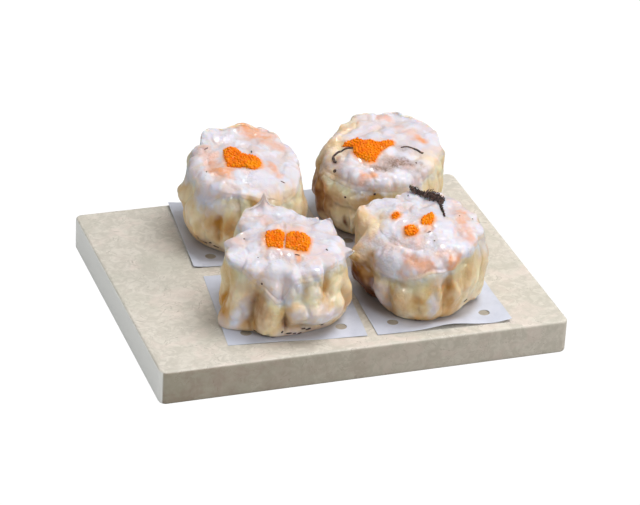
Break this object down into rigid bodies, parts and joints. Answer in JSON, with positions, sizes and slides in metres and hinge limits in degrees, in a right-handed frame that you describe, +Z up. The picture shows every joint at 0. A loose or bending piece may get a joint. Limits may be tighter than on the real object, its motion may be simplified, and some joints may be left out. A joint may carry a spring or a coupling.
{
  "type": "siu mai dumplings on a stone slab",
  "caption": "Open-topped steamed dumplings with pleated dough cups, shrimp filling, roe and mushroom, on punched papers on a marble slab.",
  "frame": {"origin": "middle of the slab's underside, which is the middle of the whole thing's base", "axes": "+Z up; +X along the slab's long side, to the right as it is served; +Y to its back"},
  "size_m": [0.14, 0.11, 0.0458],
  "materials": {
    "stone": "satin",
    "paper": "matte",
    "dough": "gloss",
    "mince": "gloss",
    "roe": "gloss",
    "mushroom": "satin"
  },
  "bodies": {
    "root": {"stone_slab": "stone", "paper_1": "paper", "paper_2": "paper", "paper_3": "paper", "paper_4": "paper", "wrapper_1": "dough", "wrapper_2": "dough", "wrapper_3": "dough", "wrapper_4": "dough", "filling_1": "mince", "filling_2": "mince", "filling_3": "mince", "filling_4": "mince", "roe_1": "roe", "roe_2": "roe", "roe_3": "roe", "roe_4_left": "roe", "roe_4_front": "roe", "roe_4_right": "roe", "mushroom_2_left": "mushroom", "mushroom_2_right": "mushroom", "mushroom_4": "mushroom"}
  },
  "joints": []
}
